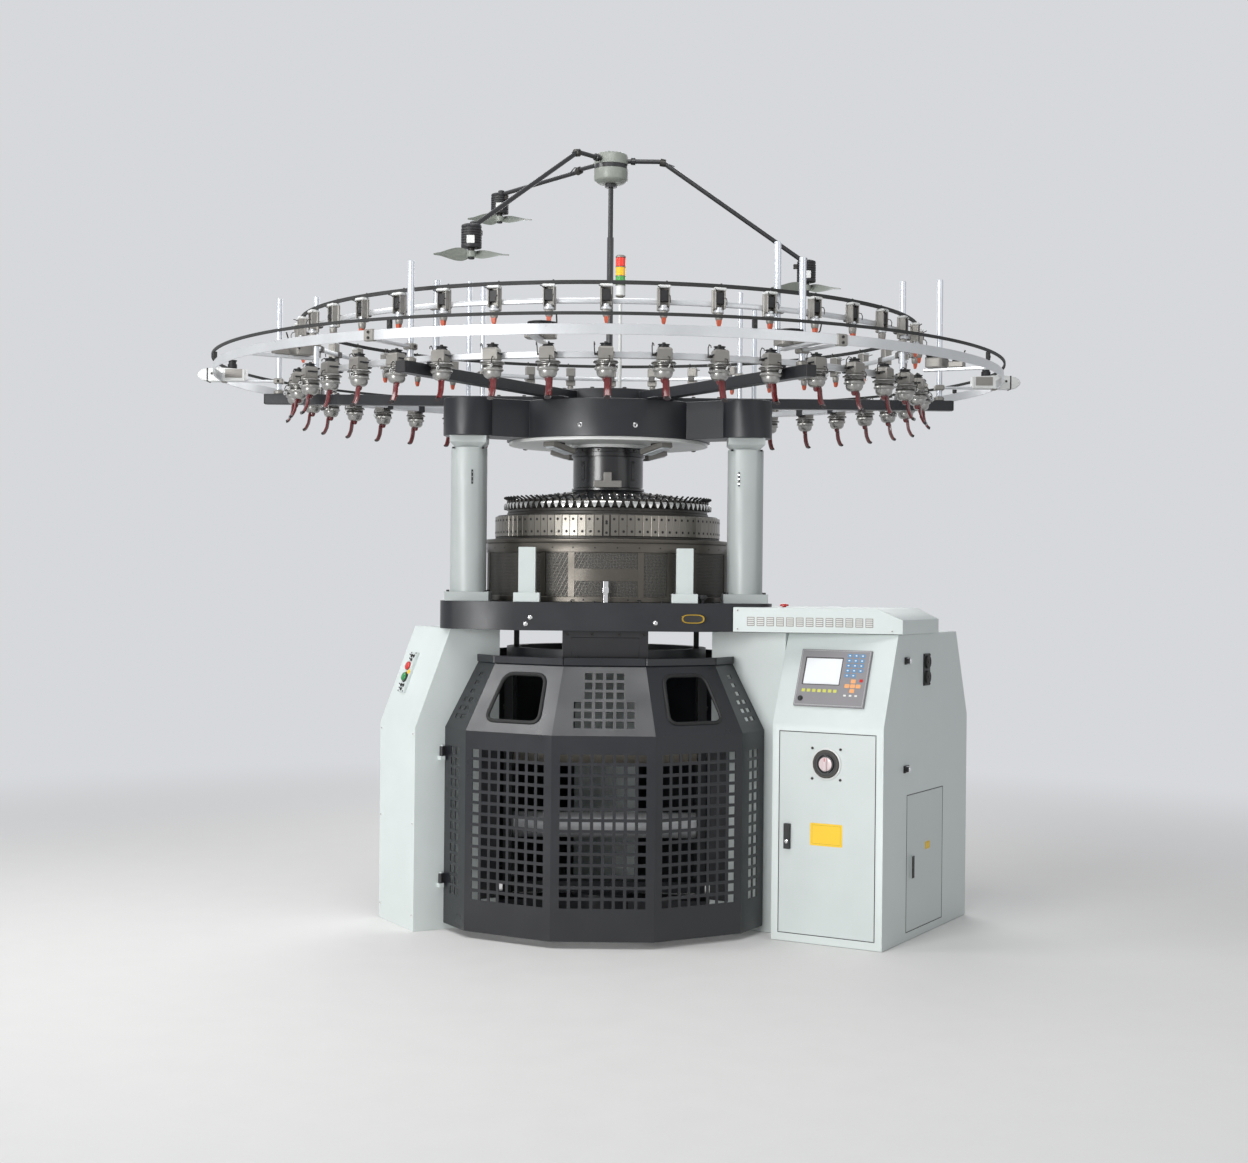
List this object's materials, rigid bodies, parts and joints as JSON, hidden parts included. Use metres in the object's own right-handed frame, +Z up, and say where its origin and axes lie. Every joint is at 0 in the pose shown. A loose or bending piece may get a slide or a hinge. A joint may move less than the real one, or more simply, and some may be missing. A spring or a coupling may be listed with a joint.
{
  "type": "circular knitting machine",
  "caption": "Floor-standing industrial circular knitting machine with guarded take-down, cylinder and cam ring on three legs, ring creel with yarn feeders, lint fans and a control cabinet.",
  "frame": {"origin": "on the machine's upright axis at floor level", "axes": "+X to the operator's right, +Y to the back, +Z up"},
  "size_m": [3.88, 3.6566, 3.587],
  "materials": {
    "white_paint": "satin",
    "charcoal_paint": "satin",
    "guard_paint": "satin",
    "ground_steel": "satin",
    "black_paint": "satin",
    "pale_paint": "satin",
    "feeder_alloy": "satin",
    "lever_red": "gloss",
    "belt_black": "matte",
    "ivory": "satin",
    "lamp_red": "gloss",
    "chrome": "polished",
    "black_plastic": "matte",
    "panel_grey": "matte",
    "button_green": "gloss"
  },
  "bodies": {
    "frame": {"base_frame": "charcoal_paint", "bed_plate": "charcoal_paint", "bed_posts": "white_paint", "belt_lower": "belt_black", "belt_tensioners": "feeder_alloy", "belt_upper": "belt_black", "button_strip": "white_paint", "cabinet_cover": "white_paint", "cabinet_shell": "white_paint", "cabinet_vents": "black_plastic", "cam_ring": "ground_steel", "cam_skirt": "ground_steel", "ceiling_plate": "pale_paint", "columns": "white_paint", "creel_hub": "charcoal_paint", "creel_posts": "feeder_alloy", "dial_bracket": "pale_paint", "dial_cover": "charcoal_paint", "dial_housing": "black_paint", "drive_box": "charcoal_paint", "fan_mast": "black_paint", "feeder_crown": "ground_steel", "feeder_ring_lower": "feeder_alloy", "feeder_ring_upper": "feeder_alloy", "grease_fitting": "chrome", "guard_left": "guard_paint", "guard_right": "guard_paint", "leg_left": "white_paint", "leg_rear": "white_paint", "leg_right": "white_paint", "operator_panel": "panel_grey", "outer_ring": "pale_paint", "side_latches": "black_plastic", "signal_lamp": "lamp_red", "signal_pole": "pale_paint", "top_frame": "charcoal_paint", "yarn_levers": "lever_red"},
    "cylinder": {"needle_cylinder": "ground_steel", "cylinder_gear": "ground_steel", "takedown_frame": "charcoal_paint"},
    "dial": {"needle_dial": "ground_steel"},
    "drive_pinion": {"drive_pinion": "ground_steel"},
    "takedown_roller_front": {"takedown_roller_front": "ground_steel"},
    "takedown_roller_rear": {"takedown_roller_rear": "ground_steel"},
    "windup_roller": {"windup_roller": "ground_steel"},
    "gate": {"gate_front": "guard_paint"},
    "fan_head": {"fan_hub": "ivory", "fan_arms": "black_paint"},
    "propeller_right": {"propeller_right": "ivory"},
    "propeller_front": {"propeller_front": "ivory"},
    "propeller_rear": {"propeller_rear": "ivory"},
    "cabinet_door": {"cabinet_door": "white_paint", "switch_ring": "black_plastic"},
    "main_switch": {"main_switch": "black_plastic"},
    "door_handle": {"door_handle": "black_plastic"},
    "side_door": {"side_door": "white_paint"},
    "stop_button": {"stop_button": "lever_red"},
    "start_button": {"start_button": "button_green"},
    "cover_button": {"cover_button": "lever_red"}
  },
  "joints": [
    {"name": "cylinder_spin", "type": "hinge", "parent": "frame", "child": "cylinder", "pos_m": [0, 0, 1.38], "axis": [0, 0, 1], "continuous": true},
    {"name": "dial_spin", "type": "hinge", "parent": "frame", "child": "dial", "pos_m": [0, 0, 1.9], "axis": [0, 0, 1], "continuous": true},
    {"name": "drive_spin", "type": "hinge", "parent": "frame", "child": "drive_pinion", "pos_m": [0, -0.4963, 1.38], "axis": [0, 0, 1], "continuous": true},
    {"name": "roller_front_spin", "type": "hinge", "parent": "cylinder", "child": "takedown_roller_front", "pos_m": [0, -0.048, 0.76], "axis": [1, 0, 0], "continuous": true},
    {"name": "roller_rear_spin", "type": "hinge", "parent": "cylinder", "child": "takedown_roller_rear", "pos_m": [0, 0.048, 0.76], "axis": [1, 0, 0], "continuous": true},
    {"name": "windup_spin", "type": "hinge", "parent": "cylinder", "child": "windup_roller", "pos_m": [0, 0, 0.42], "axis": [1, 0, 0], "continuous": true},
    {"name": "gate_swing", "type": "hinge", "parent": "frame", "child": "gate", "pos_m": [-0.72862, -0.43799, 0.5], "axis": [0, 0, -1], "range_deg": [0, 85]},
    {"name": "fan_head_spin", "type": "hinge", "parent": "frame", "child": "fan_head", "pos_m": [0, 0, 3.48], "axis": [0, 0, 1], "continuous": true},
    {"name": "propeller_right_spin", "type": "hinge", "parent": "fan_head", "child": "propeller_right", "pos_m": [0.927, 0, 2.973], "axis": [0, 0, 1], "continuous": true},
    {"name": "propeller_front_spin", "type": "hinge", "parent": "fan_head", "child": "propeller_front", "pos_m": [-0.59586, -0.71012, 2.991], "axis": [0, 0, 1], "continuous": true},
    {"name": "propeller_rear_spin", "type": "hinge", "parent": "fan_head", "child": "propeller_rear", "pos_m": [-0.57208, 0.68178, 3.418], "axis": [0, 0, 1], "continuous": true},
    {"name": "cabinet_door_swing", "type": "hinge", "parent": "frame", "child": "cabinet_door", "pos_m": [1.16216, -0.82108, 0.48], "axis": [0, 0, 1], "range_deg": [0, 110]},
    {"name": "main_switch_turn", "type": "hinge", "parent": "cabinet_door", "child": "main_switch", "pos_m": [0.96557, -0.70758, 0.788], "axis": [0.5, 0.866, 0], "range_deg": [0, 90]},
    {"name": "door_handle_turn", "type": "hinge", "parent": "cabinet_door", "child": "door_handle", "pos_m": [0.80969, -0.61758, 0.463], "axis": [0.5, 0.866, 0], "range_deg": [0, 90]},
    {"name": "side_door_swing", "type": "hinge", "parent": "frame", "child": "side_door", "pos_m": [1.55757, -0.21221, 0.34], "axis": [0, 0, 1], "range_deg": [0, 110]},
    {"name": "stop_press", "type": "slide", "parent": "frame", "child": "stop_button", "axis": [0.8088, 0.4669, -0.3576], "range_m": [0, 0.004], "stiffness_N_per_m": 1500, "springref_m": -0.003},
    {"name": "start_press", "type": "slide", "parent": "frame", "child": "start_button", "axis": [0.8088, 0.4669, -0.3576], "range_m": [0, 0.004], "stiffness_N_per_m": 1500, "springref_m": -0.003},
    {"name": "cover_press", "type": "slide", "parent": "frame", "child": "cover_button", "axis": [0, 0, -1], "range_m": [0, 0.004], "stiffness_N_per_m": 1500, "springref_m": -0.003}
  ],
  "couplings": [
    {"joint": "dial_spin", "follows": "cylinder_spin", "ratio": 1},
    {"joint": "drive_spin", "follows": "cylinder_spin", "ratio": -15.533},
    {"joint": "roller_front_spin", "follows": "cylinder_spin", "ratio": -0.6},
    {"joint": "roller_rear_spin", "follows": "cylinder_spin", "ratio": 0.6},
    {"joint": "windup_spin", "follows": "cylinder_spin", "ratio": 0.45}
  ]
}
